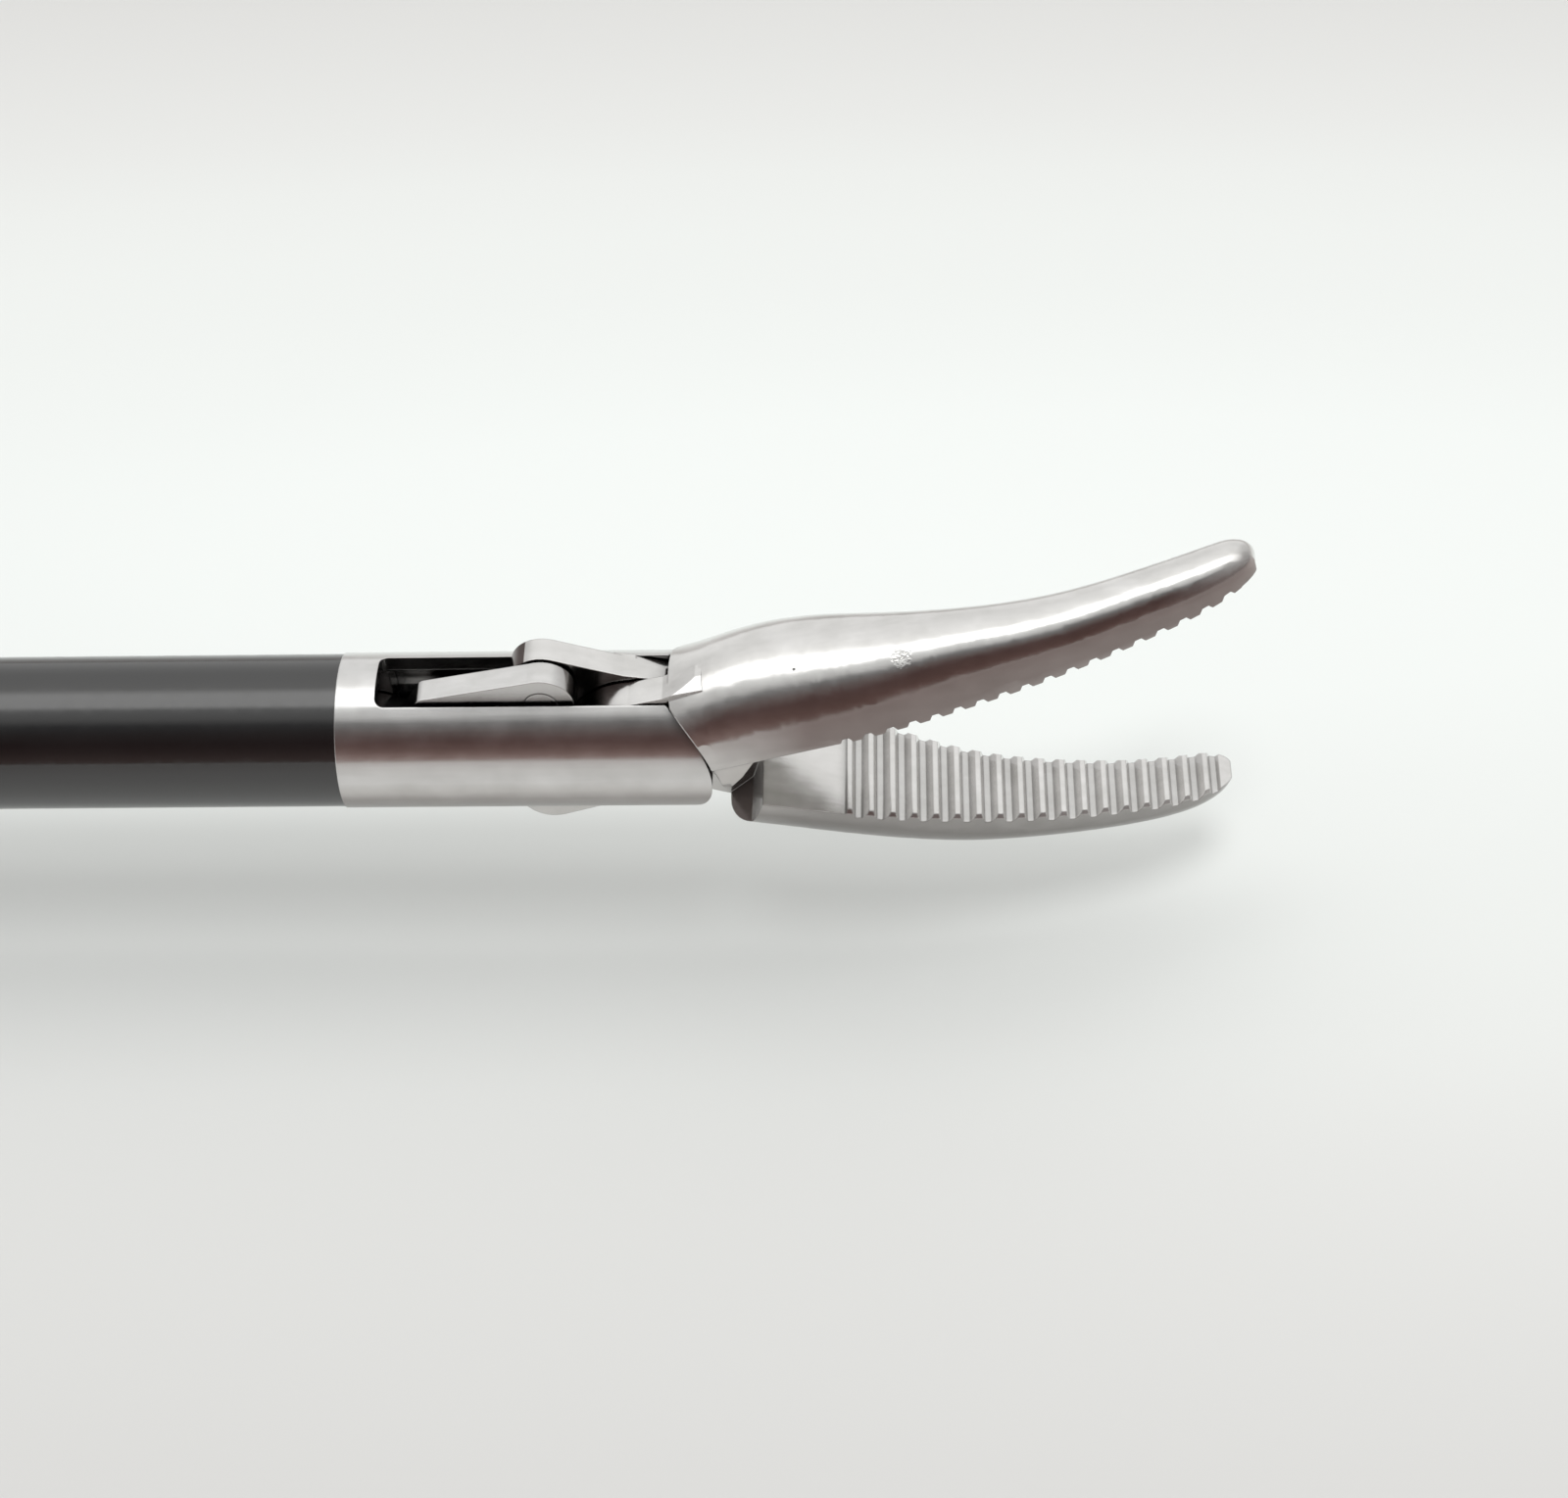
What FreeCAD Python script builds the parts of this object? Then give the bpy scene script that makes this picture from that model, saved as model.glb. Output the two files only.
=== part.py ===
import FreeCAD, Part
import math
import os
import Sketcher

V = FreeCAD.Vector

# Every driving size in millimetres; x runs along the shaft to the jaw tips.
# Handle pieces are measured back from the handle's front face.
SIZES = {
    "pivot_x": 310.0,
    "rest_angle": 14.2,
    "play": 0.05,
    "press": 0.01,
    "tube_radius": 2.25,
    "tube_wall": 0.25,
    "sleeve_wall": 0.2,
    "clevis_step": 0.04,
    "clevis_back": 9.35,
    "slot_back": 8.1,
    "slot_width": 2.12,
    "prong_round": 0.35,
    "jaw_gap": 0.08,
    "tooth_pitch": 0.72,
    "tooth_depth": 0.29,
    "tooth_count": 18,
    "tooth_crest": 0.16,
    "tooth_bottom": 0.2,
    "first_tooth": 7.0,
    "plate_inner": 0.03,
    "plate_outer": 1.02,
    "hub_radius": 2.2,
    "shoulder_radius": 2.6,
    "elbow_arm": 3.6,
    "elbow_angle": 23.5,
    "elbow_radius": 1.05,
    "elbow_pin_radius": 0.5,
    "pivot_pin_radius": 0.8,
    "pin_blind": 2.1,
    "link_length": 6.38,
    "link_inner": 0.1,
    "link_outer": 0.95,
    "link_play": 0.15,
    "link_shift": 0.06,
    "link_eye_radius": 0.85,
    "tang_outer": 0.92,
    "rod_pin_radius": 0.45,
    "fork_slot": 2.0,
    "fork_front": 7.9,
    "fork_slot_back": 10.9,
    "fork_back": 14.5,
    "fork_socket": 2.6,
    "rod_radius": 1.1,
    "rod_rear": 48.5,
    "tube_step": 2.0,
    "sleeve_rear": 3.5,
    "nose_bore_depth": 4.0,
    "knob_radius": 10.0,
    "knob_length": 22.0,
    "knob_gap": 1.5,
    "flute_radius": 3.2,
    "flute_offset": 12.2,
    "flute_count": 8,
    "hub_core_radius": 4.0,
    "hub_neck_radius": 4.9,
    "hub_collar_radius": 6.8,
    "collar_front": 4.3,
    "collar_rear": 7.0,
    "hub_rear": 9.0,
    "hub_front": 4.6,
    "o_ring_x": 1.9,
    "o_ring_section": 0.7,
    "seal_radius": 2.6,
    "seal_length": 4.0,
    "spool_x": 34.5,
    "spool_disc_radius": 3.0,
    "spool_disc_width": 1.5,
    "spool_hub_radius": 1.9,
    "lever_drop": 8.0,
    "lever_hub_radius": 4.2,
    "lever_half": 3.0,
    "lever_pin_radius": 1.5,
    "lever_pin_half": 7.0,
    "fork_arm_half": 1.9,
    "fork_neck_half": 1.35,
    "ring_half": 5.0,
    "leg_half": 6.5,
    "barrel_half": 8.5,
    "cavity_half": 6.2,
    "finger_x": 10.5,
    "finger_y": 59.0,
    "finger_reach": 5.0,
    "finger_hole": 12.5,
    "ring_band": 5.0,
    "thumb_x": 63.5,
    "thumb_y": 66.0,
    "thumb_hole": 11.5,
    "inlet_x": 45.5,
    "inlet_radius": 2.0,
    "inlet_seat_radius": 2.6,
    "inlet_top": 22.5,
    "inlet_base": 3.2,
    "boss_top": 13.0,
    "boss_half": 5.0,
    "contact_half": 2.2,
    "screw_head": 2.6,
    "screw_shank": 1.2,
    "screw_recess": 2.5,
}
SCREWS = {
    "shell_screw_rear": (-52.9, -1.0, "barrel_half"),
    "shell_screw_middle": (-10.5, -17.0, "leg_half"),
    "shell_screw_lower": (-10.5, -31.0, "leg_half"),
}
SIZES["bore_radius"] = round(SIZES["tube_radius"] - SIZES["tube_wall"], 4)
SIZES["sleeve_radius"] = round(SIZES["tube_radius"] + SIZES["press"] + SIZES["sleeve_wall"], 4)
SIZES["shaft_radius"] = round(SIZES["sleeve_radius"] + SIZES["clevis_step"], 4)
SIZES["root_radius"] = round(SIZES["shaft_radius"] - 0.045, 4)
SIZES["fork_radius"] = round(SIZES["bore_radius"] - SIZES["play"], 4)
SIZES["tube_rear"] = SIZES["knob_length"] - SIZES["tube_step"]

doc = FreeCAD.newDocument("dissector")
sheet = doc.addObject("Spreadsheet::Sheet", "Sizes")
for row, (alias, value) in enumerate(SIZES.items(), start=1):
    sheet.set("A%d" % row, alias)
    sheet.set("B%d" % row, str(value))
    sheet.setAlias("B%d" % row, alias)
doc.recompute()


def size(alias):
    return SIZES[alias]


def bind(thing, prop, expression):
    """Drive one property from the sheet; words of the sheet get their prefix."""
    words = expression.replace("(", " ( ").replace(")", " ) ").split()
    text = " ".join("Sizes." + w if w in SIZES else w for w in words)
    thing.setExpression(prop, text)


def new_body(label, placement=None):
    body = doc.addObject("PartDesign::Body", label)
    body.Label = label
    if placement:
        body.Placement = placement
    return body


def flat(body, role, shift=0.0):
    """A sketch on one of the body's own planes, moved along its normal."""
    plane = [o for o in body.Origin.OriginFeatures if o.Role == role][0]
    count = len(body.Group)
    sketch = body.newObject("Sketcher::SketchObject", "%s_sketch_%d" % (body.Name, count))
    sketch.AttachmentSupport = [(plane, "")]
    sketch.MapMode = "FlatFace"
    sketch.AttachmentOffset = FreeCAD.Placement(V(0, 0, shift), FreeCAD.Rotation())
    return sketch


def circle(sketch, x, y, radius, rule=None):
    index = sketch.addGeometry(Part.Circle(V(x, y, 0), V(0, 0, 1), radius), False)
    if rule:
        number = sketch.addConstraint(Sketcher.Constraint("Radius", index, radius))
        bind(sketch, "Constraints[%d]" % number, rule)
    return sketch


def polygon(sketch, points):
    ends = points[1:] + points[:1]
    for start, end in zip(points, ends):
        sketch.addGeometry(Part.LineSegment(V(*start, 0), V(*end, 0)), False)
    return sketch


def rounded(sketch, corners):
    """A closed outline from (x, y, corner radius) triples."""
    count = len(corners)
    cuts = []
    for i, (x, y, radius) in enumerate(corners):
        here = V(x, y, 0)
        back = (V(corners[i - 1][0], corners[i - 1][1], 0) - here).normalize()
        ahead = corners[(i + 1) % count]
        front = (V(ahead[0], ahead[1], 0) - here).normalize()
        half = back.getAngle(front) / 2
        reach = radius / math.tan(half)
        middle = (back + front).normalize()
        centre = here + middle * (radius / math.sin(half))
        cuts.append((here + back * reach, centre - middle * radius, here + front * reach))
    for i, (start, top, end) in enumerate(cuts):
        if corners[i][2] > 0:
            sketch.addGeometry(Part.Arc(start, top, end), False)
        sketch.addGeometry(Part.LineSegment(end, cuts[(i + 1) % count][0]), False)
    return sketch


def pad(body, sketch, length, flip=False, both=False, cut=False):
    kind = "PartDesign::Pocket" if cut else "PartDesign::Pad"
    feature = body.newObject(kind, "%s_step_%d" % (body.Name, len(body.Group)))
    feature.Profile = sketch
    bind(feature, "Length", length)
    feature.Reversed = flip
    if both:
        feature.SideType = "Symmetric"
    body.Tip = feature
    sketch.Visibility = False
    return feature


def revolve(body, sketch, cut=False):
    kind = "PartDesign::Groove" if cut else "PartDesign::Revolution"
    feature = body.newObject(kind, "%s_turn_%d" % (body.Name, len(body.Group)))
    feature.Profile = sketch
    feature.ReferenceAxis = (sketch, ["H_Axis"])
    feature.Angle = 360.0
    body.Tip = feature
    return feature


def turned(label, profile, placement=None):
    """A body turned about the shaft axis from (x, radius) points."""
    body = new_body(label, placement)
    revolve(body, polygon(flat(body, "XY_Plane"), profile))
    return body


def repeat(body, feature, axis, count, length=None):
    """A row or a ring of one feature along or about the shaft axis."""
    kind = "PartDesign::LinearPattern" if length else "PartDesign::PolarPattern"
    pattern = body.newObject(kind, "%s_row_%d" % (body.Name, len(body.Group)))
    pattern.Originals = [feature]
    if length:
        pattern.Direction = (axis, [""])
        bind(pattern, "Length", length)
    else:
        pattern.Axis = (axis, [""])
        pattern.Angle = 360.0
    bind(pattern, "Occurrences", count)
    body.Tip = pattern
    return pattern


def origin_part(body, role):
    return [o for o in body.Origin.OriginFeatures if o.Role == role][0]


# A sheet sketch lies in the x-z plane; its normal is -y, so y0 is the far face.
def plate(body, draw, y_from, y_to, cut=False):
    sketch = flat(body, "XZ_Plane", -y_to)
    draw(sketch)
    return pad(body, sketch, "%.4f" % (y_to - y_from), flip=cut, cut=cut)


PIVOT = V(size("pivot_x"), 0, 0)
HANDLE_X = -size("knob_length") - size("knob_gap")
HANDLE = FreeCAD.Placement(V(HANDLE_X, 0, 0), FreeCAD.Rotation())
SLOT_HALF = size("slot_width") / 2
MID = (size("tooth_depth") / 2, size("jaw_gap") / 2)
CREST = -MID[0] + MID[1]
ROOT = MID[0] + MID[1]
ELBOW0 = math.radians(size("elbow_angle"))
ELBOW1 = math.radians(size("elbow_angle") + size("rest_angle"))


# Jaw sections, closed: x, centre y, half width, height, roundness, sideways lean.
JAW_SECTIONS = [
    (1.75, 0.0, size("shaft_radius") - 0.06, 2.25, 1.0, 0.0),
    (3.0, 0.0, size("shaft_radius") - 0.05, 2.43, 1.0, 0.0),
    (5.0, 0.03, 2.38, 2.5, 0.92, 0.15),
    (8.0, -0.15, 2.0, 2.33, 0.82, 0.2),
    (11.0, -0.17, 1.5, 2.15, 0.76, 0.1),
    (14.0, 0.25, 1.24, 1.77, 0.76, 0.0),
    (17.0, 1.03, 1.06, 1.5, 0.76, 0.0),
    (18.8, 1.7, 0.97, 1.25, 0.78, 0.0),
    (19.65, 2.09, 0.8, 1.03, 0.8, 0.0),
    (20.05, 2.25, 0.56, 0.74, 0.8, 0.0),
    (20.2, 2.3, 0.34, 0.42, 0.8, 0.0),
]
EDGE_ROUND = 0.12


def jaw_section(body, station, up):
    """One closed cross section: flat face, small edge chamfers and the dome."""
    x, middle, half, height, power, lean = station
    edge = min(EDGE_ROUND, height / 4)
    base = CREST + edge
    sketch = flat(body, "YZ_Plane", x)
    dome = []
    for i in range(11):
        turn = math.pi * i / 10
        across = math.copysign(abs(math.cos(turn)) ** power, math.cos(turn))
        rise = abs(math.sin(turn)) ** power if 0 < i < 10 else 0.0
        y = middle + half * across + lean * rise
        dome.append(V(y, up * (base + (height - base) * rise), 0))
    curve = Part.BSplineCurve()
    curve.interpolate(dome)
    low = up * CREST
    right = V(middle + half - edge, low, 0)
    left = V(middle - half + edge, low, 0)
    sketch.addGeometry(curve, False)
    sketch.addGeometry(Part.LineSegment(dome[-1], left), False)
    sketch.addGeometry(Part.LineSegment(left, right), False)
    sketch.addGeometry(Part.LineSegment(right, dome[0]), False)
    return sketch


def jaw_dome(body, up):
    sketches = [jaw_section(body, station, up) for station in JAW_SECTIONS]
    loft = body.newObject("PartDesign::AdditiveLoft", body.Name + "_dome")
    loft.Profile = sketches[0]
    loft.Sections = sketches[1:]
    loft.Ruled = False
    body.Tip = loft


def box_cut(body, x_from, x_to, z_from, z_to, y_from=-4.0, y_to=6.0):
    corners = [(x_from, z_from), (x_to, z_from), (x_to, z_to), (x_from, z_to)]
    plate(body, lambda sketch: polygon(sketch, corners), y_from, y_to, cut=True)


def jaw_teeth(body, up):
    """Notches across the face; the two jaws are half a pitch apart."""
    pitch = size("tooth_pitch")
    start = size("first_tooth") + (0 if up > 0 else pitch / 2)
    narrow = size("tooth_bottom") / 2
    wide = (pitch - size("tooth_crest")) / 2
    slope = (wide - narrow) / (ROOT - CREST)
    over = wide + slope * 0.1
    corners = [
        (start - over, up * (CREST - 0.1)),
        (start + over, up * (CREST - 0.1)),
        (start + narrow, up * ROOT),
        (start - narrow, up * ROOT),
    ]
    notch = plate(body, lambda sketch: polygon(sketch, corners), -4.0, 6.0, cut=True)
    row = "tooth_pitch * (tooth_count - 1)"
    repeat(body, notch, origin_part(body, "X_Axis"), "tooth_count", row)


def jaw_relief(body, up):
    """Keep the plain face before and after the teeth clear of the other jaw."""
    pitch = size("tooth_pitch")
    first = size("first_tooth")
    last = first + pitch * (size("tooth_count") - 1)
    crest = size("tooth_crest") / 2
    start = first if up > 0 else first - crest
    end = last + pitch / 2 + (crest if up > 0 else 0)
    for low, high in ((0.5, start), (end, JAW_SECTIONS[-1][0] + 1)):
        box_cut(body, low, high, up * -0.6, up * MID[1])


def tang_outline(up):
    """Corners that join the hub to the elbow, closed position."""
    hub, eye = size("hub_radius"), size("elbow_radius")
    arm = size("elbow_arm")
    lean = math.acos((hub - eye) / arm)
    aim = math.pi + ELBOW0
    inner = (aim - math.radians(36), aim - math.radians(110))
    ends = []
    for at_hub, at_eye in (inner, (aim + lean, aim + lean)):
        near = (hub * math.cos(at_hub), up * hub * math.sin(at_hub))
        x = arm * math.cos(aim) + eye * math.cos(at_eye)
        z = arm * math.sin(aim) + eye * math.sin(at_eye)
        ends.append((near, (x, up * z)))
    return [ends[0][0], ends[0][1], ends[1][1], ends[1][0]]


ROOT_CORNERS = [
    (0.0, 2.15),
    (1.57, 2.17),
    (2.7, 2.4),
    (2.9, 2.4),
    (2.9, -0.5),
    (2.75, -0.95),
    (2.2, -1.12),
    (1.57, -1.93),
    (0.95, -2.27),
    (0.46, -2.4),
    (-1.2, -2.25),
]
CHEEK_CORNERS = [
    (2.2, 0.6),
    (2.2, -0.35),
    (2.62, -0.3),
    (2.7, -1.2),
    (3.4, -0.66),
    (4.0, 0.0),
    (4.0, 0.6),
]
# Room in each jaw for the cheek of the other one; the near room is the larger.
FAR_ROOM = [(-1.5, -0.6), (-1.5, 2.1), (1.0, 2.03), (2.85, 1.36), (4.35, 0.02), (4.35, -0.6)]
NEAR_ROOM = [(-1.5, -0.6), (-1.5, 3.0), (3.45, 3.0), (3.62, 2.41), (4.15, 1.5), (4.2, -0.6)]


def mirrored(corners, up):
    return [(x, up * z) for x, z in corners]


def jaw_base(body, up):
    """Hub plate, tang and cheek; the near jaw half lies on the -y side."""
    side = -up
    spans = sorted((side * size("plate_inner"), side * size("plate_outer")))
    tang = sorted((side * size("plate_inner"), side * size("tang_outer")))
    eye = (-size("elbow_arm") * math.cos(ELBOW0), -up * size("elbow_arm") * math.sin(ELBOW0))
    plate(body, lambda s: polygon(s, mirrored(ROOT_CORNERS, up)), *spans)
    plate(body, lambda s: circle(s, 0, 0, size("hub_radius"), "hub_radius"), *spans)
    plate(body, lambda s: polygon(s, tang_outline(up)), *tang)
    plate(body, lambda s: circle(s, eye[0], eye[1], size("elbow_radius"), "elbow_radius"), *tang)
    for spot, rule in (((0, 0), "pivot_pin_radius"), (eye, "elbow_pin_radius")):
        hole = size(rule) + (size("play") / 2 if spot == (0, 0) else size("press"))
        plate(body, lambda s: circle(s, spot[0], spot[1], hole), -1.5, 1.5, cut=True)


def outside_trim(body, radius, x_from, x_to):
    """Cut away what stands outside a cylinder about the shaft axis."""
    sketch = flat(body, "YZ_Plane", x_from)
    circle(sketch, 0, 0, size(radius), radius)
    circle(sketch, 0, 0, 7.0)
    pad(body, sketch, "%.4f" % (x_to - x_from), flip=True, cut=True)


def make_jaw(label, up):
    turn = FreeCAD.Rotation(V(0, 1, 0), -up * size("rest_angle"))
    body = new_body(label, FreeCAD.Placement(PIVOT, turn))
    jaw_dome(body, up)
    jaw_relief(body, up)
    side = -up
    room = FAR_ROOM if up > 0 else NEAR_ROOM
    plate(body, lambda s: polygon(s, mirrored(room, up)), *sorted((0.0, -side * 6.0)), cut=True)
    cheek = sorted((side * size("plate_inner"), side * 2.3))
    plate(body, lambda s: polygon(s, mirrored(CHEEK_CORNERS, up)), *cheek)
    rule = "shoulder_radius"
    plate(body, lambda s: circle(s, 0, 0, size(rule), rule), -4.0, 4.0, cut=True)
    jaw_teeth(body, up)
    jaw_base(body, up)
    outside_trim(body, "root_radius", -0.5, 2.95)
    return body


def make_clevis():
    """Slotted tube end with round prong tips around the jaw pivot."""
    body = new_body("clevis", FreeCAD.Placement(PIVOT, FreeCAD.Rotation()))
    ring = flat(body, "YZ_Plane", -size("clevis_back"))
    circle(ring, 0, 0, size("shaft_radius"), "shaft_radius")
    pad(body, ring, "clevis_back + shaft_radius")
    tip = size("shaft_radius")
    bore = flat(body, "YZ_Plane", -size("clevis_back"))
    circle(bore, 0, 0, size("bore_radius"), "bore_radius")
    pad(body, bore, "clevis_back - 2.2", flip=True, cut=True)
    slot = flat(body, "XY_Plane")
    corners = [
        (-size("slot_back"), -SLOT_HALF, 0.3),
        (4.0, -SLOT_HALF, 0.0),
        (4.0, SLOT_HALF, 0.0),
        (-size("slot_back"), SLOT_HALF, 0.3),
    ]
    rounded(slot, corners)
    pad(body, slot, "6", both=True, cut=True)
    for up in (1, -1):
        trim = lambda s: tip_trim(s, tip, up)
        plate(body, trim, -3.0, 3.0, cut=True)
    for side in (1, -1):
        level(body, lambda s: prong_corner(s, side), -3.0, 3.0, cut=True)
    hole = size("pivot_pin_radius") + size("press")
    blind = size("pin_blind") + size("press")
    plate(body, lambda s: circle(s, 0, 0, hole), -blind, 3.0, cut=True)
    return body


def prong_corner(sketch, side):
    """The front corner of a prong beside the slot, outside a small round."""
    reach, wall, radius = size("shaft_radius"), SLOT_HALF, size("prong_round")
    near = (reach - radius, side * wall)
    far = (reach, side * (wall + radius))
    bend = radius * (1 - math.sqrt(0.5))
    middle = V(reach - bend, side * (wall + bend), 0)
    sketch.addGeometry(Part.Arc(V(*near, 0), middle, V(*far, 0)), False)
    spots = [far, (reach + 1, far[1]), (reach + 1, side * 0.9), (near[0], side * 0.9), near]
    for start, end in zip(spots[:-1], spots[1:]):
        sketch.addGeometry(Part.LineSegment(V(*start, 0), V(*end, 0)), False)


def tip_trim(sketch, radius, up):
    """The corner outside a quarter round that ends each prong."""
    middle = radius * math.sqrt(0.5)
    arc = Part.Arc(V(radius, 0, 0), V(middle, up * middle, 0), V(0, up * radius, 0))
    sketch.addGeometry(arc, False)
    spots = [(0, up * radius), (0, up * 4), (4, up * 4), (4, 0), (radius, 0)]
    for start, end in zip(spots[:-1], spots[1:]):
        sketch.addGeometry(Part.LineSegment(V(*start, 0), V(*end, 0)), False)


def cross_pin(label, x, z, radius, y_from, y_to):
    """A round pin along y."""
    body = new_body(label, FreeCAD.Placement(PIVOT, FreeCAD.Rotation()))
    plate(body, lambda s: circle(s, x, z, size(radius), radius), y_from, y_to)
    return body


ELBOW_REST = (-size("elbow_arm") * math.cos(ELBOW1), size("elbow_arm") * math.sin(ELBOW1))
ROD_EYE = (ELBOW_REST[0] - math.sqrt(size("link_length") ** 2 - ELBOW_REST[1] ** 2), 0.0)
LINK_OUTLINE = [
    (-3.15, 3.2, 0.0),
    (-6.74, 2.42, 0.3),
    (-7.4, 1.3, 0.4),
    (-8.84, 0.85, 0.0),
    (-8.84, -0.85, 0.0),
    (-8.2, -0.72, 0.0),
    (-5.2, 0.35, 0.5),
    (-2.35, 1.27, 0.0),
]


def make_link(label, up):
    """Dog-leg link from an elbow to the pull rod pin."""
    body = new_body(label, FreeCAD.Placement(PIVOT, FreeCAD.Rotation()))
    side = -up
    span = sorted((side * size("link_inner"), side * size("link_outer")))
    outline = [(x, up * z, r) for x, z, r in LINK_OUTLINE]
    plate(body, lambda s: rounded(s, outline), *span)
    shift = size("link_shift")
    eye = (ELBOW_REST[0], up * ELBOW_REST[1])
    plate(body, lambda s: circle(s, *eye, size("elbow_radius"), "elbow_radius"), *span)
    rear = (ROD_EYE[0] - shift, 0.0)
    plate(body, lambda s: circle(s, *rear, size("link_eye_radius"), "link_eye_radius"), *span)
    hole = size("elbow_pin_radius") + size("play") / 2
    plate(body, lambda s: circle(s, *eye, hole), -1.5, 1.5, cut=True)
    loose = size("rod_pin_radius") + size("link_play")
    plate(body, lambda s: circle(s, *rear, loose), -1.5, 1.5, cut=True)
    return body


def make_fork():
    body = new_body("rod_fork", FreeCAD.Placement(PIVOT, FreeCAD.Rotation()))
    ring = flat(body, "YZ_Plane", -size("fork_back"))
    circle(ring, 0, 0, size("fork_radius"), "fork_radius")
    pad(body, ring, "fork_back - fork_front")
    half = size("fork_slot") / 2
    slot = flat(body, "XY_Plane")
    back = -size("fork_slot_back")
    polygon(slot, [(back, -half), (0, -half), (0, half), (back, half)])
    pad(body, slot, "6", both=True, cut=True)
    socket = flat(body, "YZ_Plane", -size("fork_back"))
    circle(socket, 0, 0, size("rod_radius") + size("press"))
    pad(body, socket, "fork_socket", flip=True, cut=True)
    hole = size("rod_pin_radius") + size("press")
    plate(body, lambda s: circle(s, *ROD_EYE, hole), -3.0, 3.0, cut=True)
    return body


def make_shaft_line():
    """The straight turned pieces between the jaws and the handle."""
    rod, tube = size("rod_radius"), size("tube_radius")
    front = size("pivot_x") - size("clevis_back")
    rod_front = size("pivot_x") - size("fork_back") + size("fork_socket")
    turned("push_rod", ring_profile(HANDLE_X - size("rod_rear"), rod_front, 0.0, rod))
    turned("outer_tube", ring_profile(-size("tube_rear"), front, size("bore_radius"), tube))
    sleeve = ring_profile(-size("sleeve_rear"), front, tube + size("press"), size("sleeve_radius"))
    turned("insulation_sleeve", sleeve)
    seal_end = -size("tube_rear") - size("press")
    seal = ring_profile(seal_end - size("seal_length"), seal_end, rod + size("play"), size("seal_radius"))
    turned("rod_seal", seal)


def ring_profile(x_from, x_to, inner, outer):
    return [(x_from, inner), (x_to, inner), (x_to, outer), (x_from, outer)]


def make_hub():
    """Steel hub that clamps the tube and turns in the handle."""
    rear, front = HANDLE_X - size("hub_rear"), -size("hub_front")
    core, neck = size("hub_core_radius"), size("hub_neck_radius")
    collar = size("hub_collar_radius")
    collar_front, collar_rear = HANDLE_X - size("collar_front"), HANDLE_X - size("collar_rear")
    groove = size("o_ring_section")
    middle = HANDLE_X - size("o_ring_x")
    wide = groove + size("play")
    tube_hole = size("tube_radius") + size("press")
    seal_hole = size("seal_radius") + size("press")
    seal_rear = -size("tube_rear") - size("seal_length") - 2 * size("press")
    profile = [
        (rear, size("rod_radius") + 0.3),
        (seal_rear, size("rod_radius") + 0.3),
        (seal_rear, seal_hole),
        (-size("tube_rear"), seal_hole),
        (-size("tube_rear"), tube_hole),
        (front, tube_hole),
        (front, core),
        (-size("knob_length") - size("press"), core),
        (-size("knob_length") - size("press"), neck),
        (middle + wide, neck),
        (middle + wide, neck - 1.3),
        (middle - wide, neck - 1.3),
        (middle - wide, neck),
        (collar_front, neck),
        (collar_front, collar),
        (collar_rear, collar),
        (collar_rear, neck),
        (rear, neck),
    ]
    turned("shaft_hub", profile)
    ring = new_body("hub_o_ring")
    height = neck - 1.3 + groove + size("press")
    corners = []
    for i in range(8):
        turn = math.pi * (i + 0.5) / 4
        corners.append((middle + groove * math.cos(turn), height + groove * math.sin(turn)))
    revolve(ring, polygon(flat(ring, "XY_Plane"), corners))


def make_knob():
    body = new_body("rotation_knob")
    radius, length = size("knob_radius"), size("knob_length")
    hub = size("hub_core_radius") + size("press")
    nose = size("sleeve_radius") + size("press")
    step = -size("nose_bore_depth")
    corners = [
        (-length, hub),
        (step, hub),
        (step, nose),
        (0.0, nose),
        (0.0, 3.6),
        (-0.6, 4.2),
        (-4.2, 6.0),
        (-6.4, 8.9),
        (-7.6, radius),
        (-length + 2.0, radius),
        (-length + 0.6, radius - 0.8),
        (-length, radius - 1.8),
    ]
    revolve(body, polygon(flat(body, "XY_Plane"), corners))
    flute = flat(body, "YZ_Plane", -length - 1)
    circle(flute, size("flute_offset"), 0, size("flute_radius"), "flute_radius")
    cut = pad(body, flute, "knob_length + 4", flip=True, cut=True)
    repeat(body, cut, origin_part(body, "X_Axis"), "flute_count")
    return body


def make_spool():
    """Two discs on the rod that the lever fork pushes and pulls."""
    half = size("fork_arm_half") + size("play")
    wide = half + size("spool_disc_width")
    bore = size("rod_radius") + size("press")
    disc = size("spool_disc_radius")
    core = size("fork_neck_half") - size("play")
    middle = -size("spool_x")
    profile = [
        (middle - wide, bore),
        (middle + wide, bore),
        (middle + wide, disc),
        (middle + half, disc),
        (middle + half, core),
        (middle - half, core),
        (middle - half, disc),
        (middle - wide, disc),
    ]
    turned("rod_spool", profile, HANDLE)


def level(body, draw, z_from, z_to, cut=False):
    """A pad or pocket between two heights of the lying handle."""
    low, high = sorted((z_from, z_to))
    sketch = flat(body, "XY_Plane", low)
    draw(sketch)
    return pad(body, sketch, "%.4f" % (high - low), flip=cut, cut=cut)


BARREL = [
    (0.0, 9.6, 4.0),
    (0.0, -9.6, 4.0),
    (-50.5, -9.6, 5.0),
    (-57.5, -3.0, 4.0),
    (-57.5, 4.0, 5.0),
    (-51.0, 9.6, 5.0),
]
LEG = [
    (-1.0, -6.0, 1.0),
    (-4.0, -30.0, 12.0),
    (1.5, -44.0, 1.0),
    (-22.5, -44.0, 1.0),
    (-17.5, -26.0, 14.0),
    (-23.0, -6.0, 1.0),
]


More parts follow.
